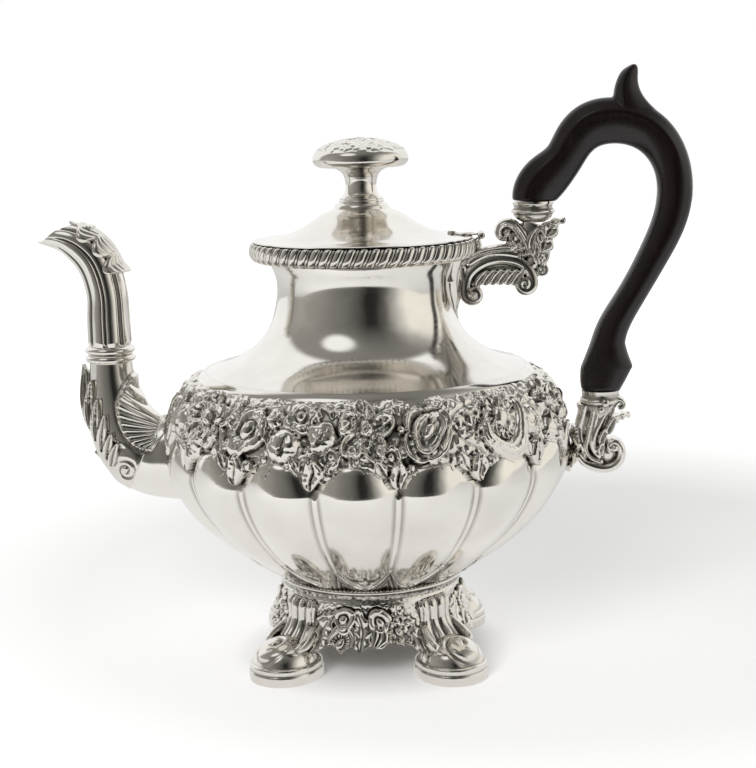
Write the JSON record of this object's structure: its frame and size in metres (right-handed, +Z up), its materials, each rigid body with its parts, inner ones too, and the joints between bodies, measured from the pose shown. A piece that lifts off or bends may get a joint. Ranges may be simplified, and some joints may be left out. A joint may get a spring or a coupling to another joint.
{
  "type": "silver teapot",
  "caption": "Lobed silver teapot with floral belt, gadrooned rim, hinged lid with button finial, fluted beak spout, dark wooden handle and scroll feet.",
  "frame": {"origin": "the pot's upright axis on the table", "axes": "+Z up, -X towards the spout, +X towards the handle"},
  "size_m": [0.2651, 0.1666, 0.2393],
  "materials": {
    "polished_silver": "polished silver, softly worn",
    "chased_silver": "cast and chased silver with dark patina in the recesses",
    "dark_wood": "dark stained hardwood, satin"
  },
  "bodies": {
    "pot": {"bowl": "polished_silver", "floral_belt": "chased_silver", "belt_blossoms": "chased_silver", "shoulder_neck": "polished_silver", "rim_gadroon": "chased_silver", "hinge_body_leaf": "polished_silver", "hinge_pin": "polished_silver", "spout_root": "polished_silver", "spout_collar": "polished_silver", "spout_beak": "polished_silver", "spout_sheath_leaf": "chased_silver", "spout_crest_leaf": "chased_silver", "handle_grip": "dark_wood", "upper_ferrule": "polished_silver", "upper_pin": "polished_silver", "upper_pad": "chased_silver", "upper_bracket": "chased_silver", "lower_ferrule": "polished_silver", "lower_pin": "polished_silver", "lower_pad": "chased_silver", "lower_bracket": "chased_silver", "base_ring": "polished_silver", "apron_front": "chased_silver", "apron_back": "chased_silver", "apron_spout_side": "chased_silver", "apron_handle_side": "chased_silver", "foot_front_left": "chased_silver", "foot_front_right": "chased_silver", "foot_back_left": "chased_silver", "foot_back_right": "chased_silver"},
    "lid": {"lid_dome": "polished_silver", "lid_flange": "polished_silver", "hinge_lid_leaf": "polished_silver", "finial_stem": "polished_silver", "finial_button": "chased_silver", "finial_stud": "polished_silver", "finial_nut": "polished_silver"}
  },
  "joints": [
    {"name": "lid_hinge", "type": "hinge", "parent": "pot", "child": "lid", "pos_m": [0.0479, 0, 0.17325], "axis": [0, 1, 0], "range_deg": [0, 72]}
  ]
}
